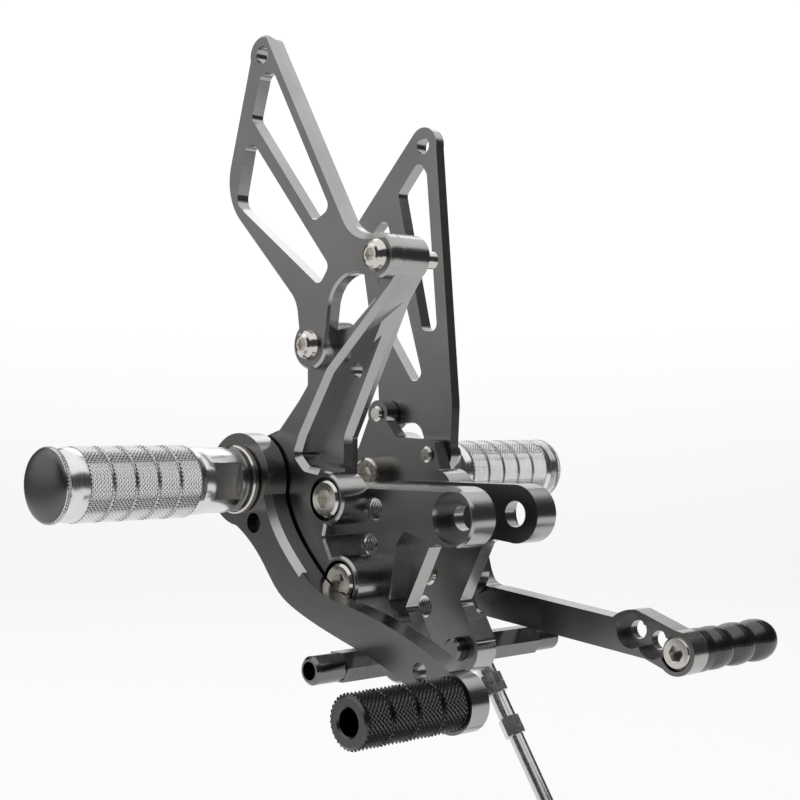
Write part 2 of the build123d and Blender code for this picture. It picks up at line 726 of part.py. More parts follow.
# Pieces of both halves and their names
pieces = {
    "brake_base_plate": base_plate(brake),
    "brake_adjuster_bolts": adjuster_bolts(brake),
    "brake_frame_stud": frame_stud(brake),
    "brake_step_bracket": brake_step_bracket,
    "brake_heel_plate": brake_heel_plate,
    "brake_heel_bolts": brake_heel_bolts,
    "brake_footpeg": footpeg(brake),
    "brake_peg_end_cap": end_cap(brake),
    "brake_thrust_washer": peg_ring(brake, lever_out + side_gap, washer_split, washer_r),
    "brake_peg_spacer": peg_ring(brake, washer_split, peg_in, spacer_r),
    "brake_pivot_collar": pivot_collar(brake),
    "brake_peg_bolt": peg_bolt(brake, base_out),
    "brake_lever": brake_lever,
    "brake_lever_bush": lever_bush(brake),
    "brake_toe_peg": brake_toe_peg,
    "brake_toe_bolt": brake_toe_bolt,
    "shift_base_plate": base_plate(shift),
    "shift_adjuster_bolts": adjuster_bolts(shift),
    "shift_frame_stud": frame_stud(shift),
    "shift_step_bracket": shift_step_bracket,
    "shift_heel_plate": shift_heel_plate,
    "shift_heel_bolts": shift_heel_bolts,
    "shift_footpeg": footpeg(shift),
    "shift_peg_end_cap": end_cap(shift),
    "shift_thrust_washer": peg_ring(shift, lever_out + side_gap, washer_split, washer_r),
    "shift_peg_spacer": peg_ring(shift, washer_split, peg_in, spacer_r),
    "shift_pivot_collar": pivot_collar(shift),
    "shift_peg_bolt": peg_bolt(shift, shift_plate_in),
    "shift_lever": shift_lever,
    "shift_lever_bush": lever_bush(shift),
    "shift_toe_peg": shift_toe_peg,
    "shift_toe_bolt": shift_toe_bolt,
    "shift_rod": shift_rod,
    "rod_lock_nuts": rod_lock_nuts,
    "rod_end_bolt": rod_end_bolt,
    "upper_rod_end": upper_rod_end,
    "upper_rod_ball": upper_rod_ball,
    "lower_rod_end": lower_rod_end,
    "lower_rod_ball": lower_rod_ball,
}
for name, piece in pieces.items():
    piece.part.label = name
    export_step(piece.part, f"parts/{name}.step")
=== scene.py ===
import math

import bpy
from bpy.props import FloatProperty, FloatVectorProperty, IntProperty, PointerProperty
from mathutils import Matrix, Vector


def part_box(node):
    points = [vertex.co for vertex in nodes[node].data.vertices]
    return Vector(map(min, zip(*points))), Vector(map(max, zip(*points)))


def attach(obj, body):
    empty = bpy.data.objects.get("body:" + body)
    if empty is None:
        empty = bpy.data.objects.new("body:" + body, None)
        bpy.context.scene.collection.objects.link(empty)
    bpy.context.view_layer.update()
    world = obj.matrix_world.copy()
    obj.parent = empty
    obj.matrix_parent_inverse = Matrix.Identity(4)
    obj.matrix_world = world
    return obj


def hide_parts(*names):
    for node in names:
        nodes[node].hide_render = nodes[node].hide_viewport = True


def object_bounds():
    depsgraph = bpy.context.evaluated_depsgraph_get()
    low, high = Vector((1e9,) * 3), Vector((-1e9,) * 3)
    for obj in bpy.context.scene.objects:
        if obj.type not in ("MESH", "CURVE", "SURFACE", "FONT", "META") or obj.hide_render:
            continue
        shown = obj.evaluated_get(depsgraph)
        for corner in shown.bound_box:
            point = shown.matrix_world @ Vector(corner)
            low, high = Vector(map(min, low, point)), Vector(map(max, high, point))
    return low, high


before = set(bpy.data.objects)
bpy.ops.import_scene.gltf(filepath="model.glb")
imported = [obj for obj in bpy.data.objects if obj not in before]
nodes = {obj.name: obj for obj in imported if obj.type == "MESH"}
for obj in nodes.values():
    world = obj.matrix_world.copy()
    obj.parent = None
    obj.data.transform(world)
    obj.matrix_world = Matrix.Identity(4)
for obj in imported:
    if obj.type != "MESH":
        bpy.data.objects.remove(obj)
cad_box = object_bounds()

bl_info = {
    "name": "Rear set dresser",
    "version": (1, 0, 0),
    "blender": (4, 5, 0),
    "location": "3D View > Sidebar > Rear Sets",
    "description": "Finishes, knurling, threads and studio for a pair of motorcycle rear sets",
    "category": "Object",
}

MM = 0.001
# Points of a turned piece that lie closer than this are one
MERGE_DISTANCE = 0.002 * MM
# Edges that turn by more than this stay sharp
SHARP_EDGE = math.radians(30)
# Height of the finest grain on the metals
GRAIN_HEIGHT = 0.05 * MM

# Footpeg: the hole for its bolt, and its neck as radius and distance from the foot in millimetres.
# The neck has a chamfered foot, the length with the wrench flats, a collar and a hollow behind it.
PEG_BOLT_R = 4.05 * MM
PEG_BOLT_DEPTH = 22 * MM
PEG_NECK = ((10.4, 0), (11.4, 2.6), (11.4, 14.2), (11.6, 14.2), (11.6, 16.2), (11.0, 17.6), (11.2, 19.2))
FLAT_WIDTH = 19.0 * MM
FLAT_MIDDLE = 8.4 * MM
FLAT_CUTTER = (10 * MM, 11.6 * MM, 40 * MM)
PEG_KNURL_START = 20.7 * MM
PEG_GROOVE = 0.6 * MM
PEG_GROOVE_DEPTH = 0.3 * MM
PEG_FLANK = 0.4 * MM
# Rounded outer end of a footpeg, as depth under its full radius and distance from the end in mm
PEG_ROUNDING = ((0.3, 6.6), (0.2, 4.8), (0.5, 3.4), (0.78, 2.7), (1.1, 2.1))
SPIGOT_R = 10.6 * MM
SPIGOT_LENGTH = 1 * MM

# End cap: how far its chamfer, knurled rim and dome lie from its inner face, and how far they step in
CAP_CHAMFER = 0.4 * MM
CAP_CHAMFER_DEPTH = 0.3 * MM
RIM_START = 0.5 * MM
RIM_END = 1.9 * MM
RIM_FLANK = 0.25 * MM
DOME_START = 2.1 * MM
DOME_STEP = 0.4 * MM
# Shares of the dome's radius, close together at its steep edge and wide apart in its flat middle
DOME_RINGS = (1.0, 0.99, 0.965, 0.92, 0.85, 0.76, 0.64, 0.5, 0.34, 0.17, 0.0)

# Brake toe peg: its bolt hole, the wide mouth at its outer end, its grooves and knurl, and the plain
# margins at its foot and at its outer end
TOE_BOLT_R = 3.05 * MM
TOE_MOUTH_R = 4.2 * MM
TOE_MOUTH_DEPTH = 22 * MM
TOE_MOUTH_CHAMFER = 0.6 * MM
TOE_FOOT_CHAMFER = 0.5 * MM
TOE_GROOVE = 1.0 * MM
TOE_GROOVE_DEPTH = 0.2 * MM
TOE_FLANK = 0.45 * MM
TOE_MARGINS = (0.3 * MM, 0.8 * MM)
# Chamfered outer end of the toe peg, as depth under its full radius and distance from the end in mm
TOE_CHAMFER = ((0.8, 0.7), (1.4, 0))

# Open position holes: places forward and up from the footpeg axis in millimetres, and their threads
POSITION_HOLES = ((46.8, -9.5), (44.4, -21.6), (39.8, -45.8))
POSITION_HOLE_R = 4.0 * MM
THREAD_BITE = 0.02 * MM
THREAD_INSET = 0.3 * MM
THREAD_STEPS = 24

# Studio: the paper and the lamps, with lengths in metres
SET_MIDDLE = Vector((-0.03, 0, 0))
FLOOR_GAP = 2 * MM
PAPER_WIDTH = 1.9
PAPER_DEPTH = 2.0
PAPER_SHIFT = 0.2
CURVE_STEPS = 8
CURVE_STEP_LENGTH = 0.18
PAPER_WALL = 2.6
PAPER_GLOW = 1.07
TOP_LAMP_HEIGHT = 1.05
TOP_LAMP_SIZE = (2.6, 2.6)
LEFT_LAMP_REACH = 1.1
LEFT_LAMP_HEIGHT = 0.4
LEFT_LAMP_SIZE = (1.0, 0.8)
# Camera, fitted to the view of the set: place in metres, shift as a share of the width, sensor in mm
CAMERA_PLACE = (0.3582, -0.4028, 0.0322)
CAMERA_SHIFT = 0.0238
SENSOR_WIDTH = 36
VIEW_TURN = math.radians(45)


def linear(code):
    """Turn an sRGB hex colour into the linear values that shaders use."""
    channels = [int(code[i:i + 2], 16) / 255 for i in (0, 2, 4)]
    return tuple(c / 12.92 if c <= 0.04045 else ((c + 0.055) / 1.055) ** 2.4 for c in channels)


def colour(name, description, code):
    """A colour property whose default is an sRGB hex value."""
    return FloatVectorProperty(
        name=name, description=description, subtype="COLOR", size=3, min=0, max=1, default=linear(code)
    )


def length(name, description, millimetres):
    """A length property whose default is in millimetres."""
    return FloatProperty(
        name=name, description=description, unit="LENGTH", precision=5, default=millimetres * MM
    )


def count(name, description, number):
    """A property that counts things."""
    return IntProperty(name=name, description=description, min=1, default=number)


def power(name, description, watts):
    """A property for the power of a lamp."""
    return FloatProperty(name=name, description=description, unit="POWER", default=watts)


class RearSetFinish(bpy.types.PropertyGroup):
    """Colours of the metals"""

    plate_face: colour("Plate face", "Anodised face of the plates, brackets and levers", "7c7b7a")
    # The edge colour is paler than the face colour as painted highlight on the anodised edges
    plate_edge_painted_highlight: colour("Plate edge", "Milled edge of the plates, brackets and levers", "aaa9a8")
    peg: colour("Footpeg", "Bright turned and knurled aluminium", "dedede")
    # The dark grey of the end cap face is a painted dark reflection on bright aluminium
    cap: colour("End cap", "Matte face at the outer end of a footpeg", "666666")
    stainless: colour("Stainless", "Screws and washers", "cdcac4")
    zinc: colour("Zinc", "Shift rod, its nuts and its eyes", "d0d0ce")
    black: colour("Black anodising", "Toe pegs", "585858")
    oxide: colour("Black oxide", "Frame studs and rings", "787878")
    bronze: colour("Bronze", "Bushes in the levers", "b08a55")


class RearSetKnurl(bpy.types.PropertyGroup):
    """Sizes of the knurling and the threads"""

    peg_bands: count("Peg bands", "Knurled bands along a footpeg", 5)
    peg_around: count("Peg diamonds", "Diamonds around a footpeg", 52)
    peg_rows: count("Peg rows", "Diamonds along one band of a footpeg", 6)
    peg_depth: length("Peg depth", "Height of the diamonds on a footpeg", 0.5)
    rim_around: count("Rim diamonds", "Diamonds around an end cap", 64)
    rim_rows: count("Rim rows", "Diamonds across the rim of an end cap", 2)
    rim_depth: length("Rim depth", "Height of the diamonds on an end cap", 0.35)
    toe_bands: count("Toe bands", "Knurled bands along the brake toe peg", 4)
    toe_around: count("Toe diamonds", "Diamonds around the brake toe peg", 32)
    toe_rows: count("Toe rows", "Diamonds along one band of the toe peg", 6)
    toe_depth: length("Toe depth", "Height of the diamonds on the brake toe peg", 0.7)
    thread_pitch: length("Thread pitch", "Pitch of the open position holes", 1.25)
    thread_depth: length("Thread depth", "Depth of the thread in the position holes", 0.62)
    thread_turns: count("Thread turns", "Turns of the thread in a position hole", 7)


class RearSetStudio(bpy.types.PropertyGroup):
    """Light and view"""

    focal: FloatProperty(name="Focal length", description="Lens in millimetres", default=72.5)
    top_power: power("Top lamp", "Wide panel overhead", 23.0)
    left_power: power("Left lamp", "Soft lamp on the left", 2.2)
    floor: colour("Floor", "Paper of the floor and the backdrop", "fdfdfd")
    room: colour("Room", "Grey of the room around the lamps", "434343")


def add_node(tree, kind, settings=None, inputs=None):
    """Add a node with its settings, and set or link its inputs."""
    node = tree.nodes.new(kind)
    for name, value in (settings or {}).items():
        setattr(node, name, value)
    for name, value in (inputs or {}).items():
        if isinstance(value, bpy.types.NodeSocket):
            tree.links.new(value, node.inputs[name])
        else:
            node.inputs[name].default_value = value
    return node


def new_finish(name):
    """Start an empty material and return it with its node tree."""
    finish = bpy.data.materials.new(name)
    finish.use_nodes = True
    finish.node_tree.nodes.clear()
    return finish, finish.node_tree


def opaque(values):
    """A colour with full cover, as the sockets take it."""
    return (*values, 1.0)


def per_mm(millimetres):
    """Scale of a texture whose features are that far apart."""
    return 1 / (millimetres * MM)


def satin_titanium_anodising(name, shades):
    """Billet aluminium with contour milled edges, bead blasted, dyed titanium grey and sealed; the paler
    edge colour is painted highlight.
    """
    # The blasted faces are satin and even. The edges are glossier, and carry faint lines where the cutter
    # ran across the thickness of the plate. Their paler colour is painted highlight on the anodised edges
    # and bevels.
    finish, tree = new_finish(name)
    place = add_node(tree, "ShaderNodeTexCoord")
    normal = add_node(tree, "ShaderNodeSeparateXYZ", inputs={"Vector": place.outputs["Normal"]})
    upright = add_node(tree, "ShaderNodeMath", {"operation": "ABSOLUTE"}, {0: normal.outputs["Y"]})
    flat = add_node(tree, "ShaderNodeMapRange", inputs={
        "Value": upright.outputs[0], "From Min": 0.75, "From Max": 0.97,
    })
    # Slow change of the dye over about 25 mm
    dye = add_node(tree, "ShaderNodeTexNoise", inputs={
        "Vector": place.outputs["Object"], "Scale": per_mm(25), "Detail": 2.0, "Roughness": 0.5,
    })
    tint = add_node(tree, "ShaderNodeMapRange", inputs={
        "Value": dye.outputs["Fac"], "From Min": 0.3, "From Max": 0.7, "To Min": 0.9, "To Max": 1.06,
    })
    # Faces that do not face along Y take the paler edge colour: painted highlight on edges and bevels
    mixed = add_node(tree, "ShaderNodeMix", {"data_type": "RGBA"}, {
        "Factor": flat.outputs["Result"], "A": opaque(shades.plate_edge_painted_highlight), "B": opaque(shades.plate_face),
    })
    tinted = add_node(tree, "ShaderNodeVectorMath", {"operation": "SCALE"}, {
        0: mixed.outputs["Result"], "Scale": tint.outputs["Result"],
    })
    # Blasted grain, drawn at 0.5 mm because the real 0.1 mm grain is too fine to show
    grain = add_node(tree, "ShaderNodeTexNoise", inputs={
        "Vector": place.outputs["Object"], "Scale": per_mm(0.5), "Detail": 3.0,
    })
    # Cutter lines on the edges, 0.4 mm apart and as long as the plate is thick
    stretch = add_node(tree, "ShaderNodeMapping", inputs={
        "Vector": place.outputs["Object"], "Scale": (per_mm(0.4), per_mm(14), per_mm(0.4)),
    })
    lines = add_node(tree, "ShaderNodeTexNoise", inputs={
        "Vector": stretch.outputs["Vector"], "Scale": 1.0, "Detail": 2.0,
    })
    relief = add_node(tree, "ShaderNodeMix", {"data_type": "FLOAT"}, {
        "Factor": flat.outputs["Result"], "A": lines.outputs["Fac"], "B": grain.outputs["Fac"],
    })
    bump = add_node(tree, "ShaderNodeBump", inputs={
        "Strength": 0.12, "Distance": GRAIN_HEIGHT, "Height": relief.outputs["Result"],
    })
    rough = add_node(tree, "ShaderNodeMapRange", inputs={
        "Value": flat.outputs["Result"], "To Min": 0.22, "To Max": 0.3,
    })
    rough_grain = add_node(tree, "ShaderNodeMapRange", inputs={
        "Value": relief.outputs["Result"],
        "From Min": 0.3, "From Max": 0.7, "To Min": -0.03, "To Max": 0.03,
    })
    roughness = add_node(tree, "ShaderNodeMath", {"operation": "ADD"}, {
        0: rough.outputs["Result"], 1: rough_grain.outputs["Result"],
    })
    surface = add_node(tree, "ShaderNodeBsdfPrincipled", inputs={
        "Base Color": tinted.outputs["Vector"], "Metallic": 1.0,
        "Roughness": roughness.outputs[0], "Normal": bump.outputs["Normal"],
    })
    add_node(tree, "ShaderNodeOutputMaterial", inputs={"Surface": surface.outputs["BSDF"]})
    return finish


def plain_metal(name, shade, gloss, grain_mm, relief, drawn_out=1):
    """A metal of one colour whose tint, gloss and relief vary with a fine grain.

    The grain is drawn out so many times across the lathe axis, which gives rings around it.
    """
    finish, tree = new_finish(name)
    place = add_node(tree, "ShaderNodeTexCoord")
    along, around = per_mm(grain_mm), per_mm(grain_mm * drawn_out)
    spread = add_node(tree, "ShaderNodeMapping", inputs={
        "Vector": place.outputs["Object"], "Scale": (around, along, around),
    })
    grain = add_node(tree, "ShaderNodeTexNoise", inputs={
        "Vector": spread.outputs["Vector"], "Scale": 1.0, "Detail": 3.0,
    })
    roughness = add_node(tree, "ShaderNodeMapRange", inputs={
        "Value": grain.outputs["Fac"],
        "From Min": 0.3, "From Max": 0.7, "To Min": gloss[0], "To Max": gloss[1],
    })
    tint = add_node(tree, "ShaderNodeMapRange", inputs={
        "Value": grain.outputs["Fac"], "From Min": 0.25, "From Max": 0.75, "To Min": 0.92, "To Max": 1.05,
    })
    tinted = add_node(tree, "ShaderNodeVectorMath", {"operation": "SCALE"}, {
        0: shade, "Scale": tint.outputs["Result"],
    })
    bump = add_node(tree, "ShaderNodeBump", inputs={
        "Strength": relief, "Distance": GRAIN_HEIGHT, "Height": grain.outputs["Fac"],
    })
    surface = add_node(tree, "ShaderNodeBsdfPrincipled", inputs={
        "Base Color": tinted.outputs["Vector"], "Metallic": 1.0,
        "Roughness": roughness.outputs["Result"], "Normal": bump.outputs["Normal"],
    })
    add_node(tree, "ShaderNodeOutputMaterial", inputs={"Surface": surface.outputs["BSDF"]})
    return finish


def bright_turned_aluminium(name, shades):
    """Aluminium bar, turned and left bare."""
    # Bright, with faint rings from the lathe across its length
    return plain_metal(name, shades.peg, gloss=(0.18, 0.28), grain_mm=0.6, relief=0.08, drawn_out=10)


def matte_cap_painted_reflection(name, shades):
    """Aluminium face at the outer end of a footpeg, dull, coloured dark grey as a painted reflection."""
    # Dull and even, with a soft sheen
    return plain_metal(name, shades.cap, gloss=(0.32, 0.4), grain_mm=0.5, relief=0.1)


def polished_stainless_steel(name, shades):
    """Stainless steel, polished."""
    # Nearly mirror bright, with light handling marks
    return plain_metal(name, shades.stainless, gloss=(0.12, 0.2), grain_mm=1.5, relief=0.05)


def bright_zinc_plating(name, shades):
    """Steel, plated with bright zinc."""
    # Bright and a little milky
    return plain_metal(name, shades.zinc, gloss=(0.16, 0.28), grain_mm=1.0, relief=0.06)


def black_dyed_anodising(name, shades):
    """Aluminium, anodised and dyed black."""
    # Dark, with pale glints on the points and ribs
    return plain_metal(name, shades.black, gloss=(0.24, 0.34), grain_mm=0.5, relief=0.06)


def oiled_black_oxide(name, shades):
    """Turned steel, blackened and oiled."""
    # Dark and glossy, with faint rings from the lathe
    return plain_metal(name, shades.oxide, gloss=(0.18, 0.26), grain_mm=0.8, relief=0.05, drawn_out=5)


def turned_bronze(name, shades):
    """Bearing bronze, turned."""
    # Warm and rather dull, with faint rings from the lathe
    return plain_metal(name, shades.bronze, gloss=(0.3, 0.4), grain_mm=0.5, relief=0.08, drawn_out=5)


def get_finish(make):
    """Return the finish of a function's name, and let the function make it the first time."""
    name = make.__name__
    return bpy.data.materials.get(name) or make(name, bpy.context.scene.rear_set_finish)


def give_finish(piece, *makers):
    """Give a piece these finishes in place of those it has."""
    piece.data.materials.clear()
    for make in makers:
        piece.data.materials.append(get_finish(make))


def finish_nodes(make, names):
    """Give CAD nodes a finish."""
    for name in names:
        give_finish(nodes[name], make)


def both(*names):
    """The names of these pieces on the brake half and on the shift half."""
    return [f"{half}_{name}" for half in ("brake", "shift") for name in names]


def choose(piece):
    """Make a piece the only one that is selected, and the active one."""
    bpy.ops.object.select_all(action="DESELECT")
    piece.select_set(True)
    bpy.context.view_layer.objects.active = piece


def start_piece(name, place):
    """Start a new piece as one vertex, and stay in edit mode."""
    bpy.ops.object.select_all(action="DESELECT")
    bpy.ops.mesh.primitive_plane_add(size=MM, location=(0, 0, 0))
    piece = bpy.context.object
    piece.name = name
    piece.data.name = name
    bpy.ops.object.mode_set(mode="EDIT")
    bpy.ops.mesh.select_mode(type="VERT")
    bpy.ops.mesh.select_all(action="SELECT")
    bpy.ops.mesh.merge(type="CENTER")
    bpy.ops.transform.translate(value=place)
    return piece


def draw_profile(points):
    """Extrude the selected vertex through a row of points."""
    for before, after in zip(points, points[1:]):
        step = Vector(after) - Vector(before)
        bpy.ops.mesh.extrude_vertices_move(TRANSFORM_OT_translate={"value": step})


def turn_piece(name, centre, profile, steps):
    """Turn a profile of radius and place along Y about a crosswise axis."""
    points = [(centre.x + radius, y, centre.z) for radius, y in profile]
    piece = start_piece(name, points[0])
    draw_profile(points)
    bpy.ops.mesh.select_all(action="SELECT")
    bpy.ops.mesh.spin(steps=steps, angle=2 * math.pi, center=(centre.x, 0, centre.z), axis=(0, 1, 0))
    bpy.ops.mesh.select_all(action="SELECT")
    bpy.ops.mesh.remove_doubles(threshold=MERGE_DISTANCE)
    bpy.ops.mesh.normals_make_consistent(inside=False)
    bpy.ops.object.mode_set(mode="OBJECT")
    return piece


def pick(piece, kind, wanted):
    """Select only the faces or edges of a piece for which a test holds, in edit mode."""
    bpy.ops.object.mode_set(mode="EDIT")
    bpy.ops.mesh.select_mode(type=kind)
    bpy.ops.mesh.select_all(action="DESELECT")
    bpy.ops.object.mode_set(mode="OBJECT")
    parts = piece.data.polygons if kind == "FACE" else piece.data.edges
    found = [part for part in parts if wanted(part)]
    if not found:
        raise RuntimeError(f"{piece.name} has nothing to select")
    for part in found:
        part.select = True
    bpy.ops.object.mode_set(mode="EDIT")


def band_profile(ends, bands, groove, margins, rows, base_r, dip):
    """Split a length along Y into bands with grooves between them, and draw their rows.

    Returns where each band starts and stops, and the points of radius and place along Y.
    """
    first, last = ends
    band = (first - last) / bands
    spans = []
    points = []
    for number in range(bands):
        start = first - number * band - (groove / 2 if number else margins[0])
        stop = first - (number + 1) * band + (groove / 2 if number < bands - 1 else margins[1])
        spans.append((start, stop))
        points.append((base_r - dip, start))
        points += [(base_r, start + (stop - start) * row / rows) for row in range(rows + 1)]
        points.append((base_r - dip, stop))
    return spans, points


def knurl_bands(piece, centre, spans, rows, base_r, depth, flank):
    """Cut the turned grid of each band into diamonds and raise each one to a blunt point.

    The flank is the width of the slope around each point.
    """
    near = 0.06 * MM
    on_row = 0.2
    band_end = 0.01
    steep = 0.3

    def band_row(point):
        radius = math.hypot(point.x - centre.x, point.z - centre.z)
        if abs(radius - base_r) > near:
            return None
        for number, (start, stop) in enumerate(spans):
            row = (point.y - start) / (stop - start) * rows
            if -band_end < row < rows + band_end:
                return number, row
        return None

    def in_band(face):
        return abs(face.normal.y) < steep and band_row(face.center) is not None

    def grid_edge(edge):
        ends = [band_row(piece.data.vertices[v].co) for v in edge.vertices]
        if None in ends or ends[0][0] != ends[1][0]:
            return False
        places = [row for number, row in ends]
        if any(abs(row - round(row)) > on_row for row in places):
            return False
        lowest = max(places) < on_row
        highest = min(places) > rows - on_row
        return not lowest and not highest

    pick(piece, "FACE", in_band)
    bpy.ops.mesh.poke()
    pick(piece, "EDGE", grid_edge)
    bpy.ops.mesh.dissolve_edges(use_verts=False)
    pick(piece, "FACE", in_band)
    bpy.ops.mesh.inset(thickness=flank, depth=depth, use_individual=True)
    bpy.ops.object.mode_set(mode="OBJECT")


def cut_boxes(piece, places, size):
    """Cut boxes of one size out of a piece."""
    for place in places:
        bpy.ops.object.select_all(action="DESELECT")
        bpy.ops.mesh.primitive_cube_add(size=1, location=place, scale=size)
        cutter = bpy.context.object
        choose(piece)
        cut = piece.modifiers.new("flat", "BOOLEAN")
        cut.operation = "DIFFERENCE"
        cut.object = cutter
        bpy.ops.object.modifier_apply(modifier=cut.name)
        bpy.data.objects.remove(cutter)


def smooth(piece):
    """Shade a piece smooth, apart from its sharp edges."""
    choose(piece)
    bpy.ops.object.shade_smooth_by_angle(angle=SHARP_EDGE)


def copy_piece(piece, name, move=(0, 0, 0), mirrored=False):
    """Copy a piece with a mesh of its own, moved or mirrored to the other half."""
    choose(piece)
    bpy.ops.object.duplicate(linked=False)
    copied = bpy.context.object
    copied.name = name
    copied.data.name = name
    bpy.ops.object.mode_set(mode="EDIT")
    bpy.ops.mesh.select_all(action="SELECT")
    if mirrored:
        bpy.ops.transform.resize(value=(1, -1, 1), center_override=(0, 0, 0))
        bpy.ops.mesh.flip_normals()
    else:
        bpy.ops.transform.translate(value=move)
    bpy.ops.object.mode_set(mode="OBJECT")
    return copied


def stand_for(piece, node, body):
    """Let a finished piece ride on a body and take the place of a CAD node."""
    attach(piece, body)
    if node:
        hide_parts(node)


def turn_footpeg(centre, radius, foot, end, knurl):
    """Turn the brake half's footpeg from its foot to its outer end, mill its flats and knurl it."""
    base_r = radius - knurl.peg_depth
    ends = (foot - PEG_KNURL_START, end + PEG_ROUNDING[0][1] * MM)
    spans, bands = band_profile(
        ends, knurl.peg_bands, PEG_GROOVE, (0, 0), knurl.peg_rows, base_r, PEG_GROOVE_DEPTH
    )
    bolt_end = foot - PEG_BOLT_DEPTH
    profile = [(0, bolt_end), (PEG_BOLT_R, bolt_end), (PEG_BOLT_R, foot)]
    profile += [(neck_r * MM, foot - along * MM) for neck_r, along in PEG_NECK]
    profile += bands
    profile += [(radius - depth * MM, end + along * MM) for depth, along in PEG_ROUNDING]
    profile += [(SPIGOT_R, end + SPIGOT_LENGTH), (SPIGOT_R, end), (0, end)]
    peg = turn_piece("brake_knurled_peg", centre, profile, knurl.peg_around)
    reach = FLAT_WIDTH / 2 + FLAT_CUTTER[0] / 2
    flats = [(centre.x + side * reach, foot - FLAT_MIDDLE, centre.z) for side in (-1, 1)]
    cut_boxes(peg, flats, FLAT_CUTTER)
    knurl_bands(peg, centre, spans, knurl.peg_rows, base_r, knurl.peg_depth, PEG_FLANK)
    smooth(peg)
    give_finish(peg, bright_turned_aluminium)
    return peg


def turn_end_cap(centre, radius, inner, face, knurl):
    """Turn the brake half's end cap from its inner face to the top of its dome, and knurl its rim."""
    rim_r = radius - knurl.rim_depth
    rim = (inner - RIM_START, inner - RIM_END)
    rows = knurl.rim_rows
    profile = [(0, inner), (SPIGOT_R, inner), (rim_r - CAP_CHAMFER_DEPTH, inner - CAP_CHAMFER)]
    profile += [(rim_r, rim[0] + (rim[1] - rim[0]) * row / rows) for row in range(rows + 1)]
    # The dome is steep at its edge and nearly flat in its middle
    dome_r = radius - DOME_STEP
    dome = inner - DOME_START
    for share in DOME_RINGS:
        profile.append((dome_r * share, dome - (dome - face) * math.sqrt(1 - share * share)))
    cap = turn_piece("brake_knurled_cap", centre, profile, knurl.rim_around)
    knurl_bands(cap, centre, [rim], rows, rim_r, knurl.rim_depth, RIM_FLANK)
    smooth(cap)
    give_finish(cap, bright_turned_aluminium, matte_cap_painted_reflection)
    # The dome face takes the dark grey painted reflection, the knurled rim stays bright
    for part in cap.data.polygons:
        part.material_index = 1 if part.center.y < dome else 0
    return cap


def turn_toe_peg(centre, radius, foot, end, knurl):
    """Turn the brake toe peg from its foot on the lever to its outer end, and knurl it."""
    base_r = radius - knurl.toe_depth
    spans, bands = band_profile(
        (foot, end), knurl.toe_bands, TOE_GROOVE, TOE_MARGINS, knurl.toe_rows, base_r, TOE_GROOVE_DEPTH
    )
    mouth_end = end + TOE_MOUTH_DEPTH
    profile = [(TOE_BOLT_R, foot), (radius - TOE_FOOT_CHAMFER, foot)]
    profile += bands
    profile += [(radius - depth * MM, end + along * MM) for depth, along in TOE_CHAMFER]
    profile += [(TOE_MOUTH_R + TOE_MOUTH_CHAMFER, end), (TOE_MOUTH_R, end + TOE_MOUTH_CHAMFER)]
    profile += [(TOE_MOUTH_R, mouth_end), (TOE_BOLT_R, mouth_end), (TOE_BOLT_R, foot)]
    peg = turn_piece("brake_knurled_toe_peg", centre, profile, knurl.toe_around)
    knurl_bands(peg, centre, spans, knurl.toe_rows, base_r, knurl.toe_depth, TOE_FLANK)
    smooth(peg)
    give_finish(peg, black_dyed_anodising)
    return peg


def wind_thread(knurl):
    """Wind the thread of one position hole about the Y axis."""
    # A ridge half as wide as the pitch, so that the wall of the hole shows between its turns
    pitch = knurl.thread_pitch
    wall = POSITION_HOLE_R + THREAD_BITE
    crest = POSITION_HOLE_R - knurl.thread_depth
    ridge = [(wall, 0.25 * pitch, 0), (crest, 0.5 * pitch, 0), (wall, 0.75 * pitch, 0)]
    thread = start_piece("position_thread", ridge[0])
    draw_profile(ridge + ridge[:1])
    bpy.ops.mesh.select_all(action="SELECT")
    bpy.ops.mesh.remove_doubles(threshold=MERGE_DISTANCE)
    bpy.ops.object.mode_set(mode="OBJECT")
    helix = thread.modifiers.new("helix", "SCREW")
    helix.axis = "Y"
    helix.screw_offset = pitch
    helix.iterations = knurl.thread_turns
    helix.steps = THREAD_STEPS
    helix.render_steps = THREAD_STEPS
    bpy.ops.object.modifier_apply(modifier=helix.name)
    bpy.ops.object.mode_set(mode="EDIT")
    bpy.ops.mesh.select_all(action="SELECT")
    bpy.ops.mesh.fill_holes(sides=4)
    bpy.ops.mesh.select_all(action="SELECT")
    bpy.ops.mesh.normals_make_consistent(inside=False)
    bpy.ops.object.mode_set(mode="OBJECT")
    smooth(thread)
    give_finish(thread, bright_turned_aluminium)
    return thread


class REARSET_OT_plates(bpy.types.Operator):
    """Finish the base plates, step brackets, heel plates and levers"""

    bl_idname = "rearset.plates"
    bl_label = "Anodised plates"

    def execute(self, context):
        finish_nodes(satin_titanium_anodising, both("base_plate", "step_bracket", "heel_plate", "lever"))
        return {"FINISHED"}


class REARSET_OT_fasteners(bpy.types.Operator):
    """Finish the screws, rings, studs, bushes and the shift linkage"""

    bl_idname = "rearset.fasteners"
    bl_label = "Screws and linkage"

    def execute(self, context):
        finish_nodes(polished_stainless_steel, both("adjuster_bolts", "heel_bolts", "peg_bolt", "toe_bolt"))
        finish_nodes(polished_stainless_steel, both("pivot_collar", "thrust_washer"))
        finish_nodes(polished_stainless_steel, ["rod_end_bolt", "upper_rod_ball", "lower_rod_ball"])
        finish_nodes(oiled_black_oxide, both("frame_stud", "peg_spacer"))
        finish_nodes(turned_bronze, both("lever_bush"))
        finish_nodes(bright_zinc_plating, ["shift_rod", "rod_lock_nuts", "upper_rod_end", "lower_rod_end"])
        return {"FINISHED"}


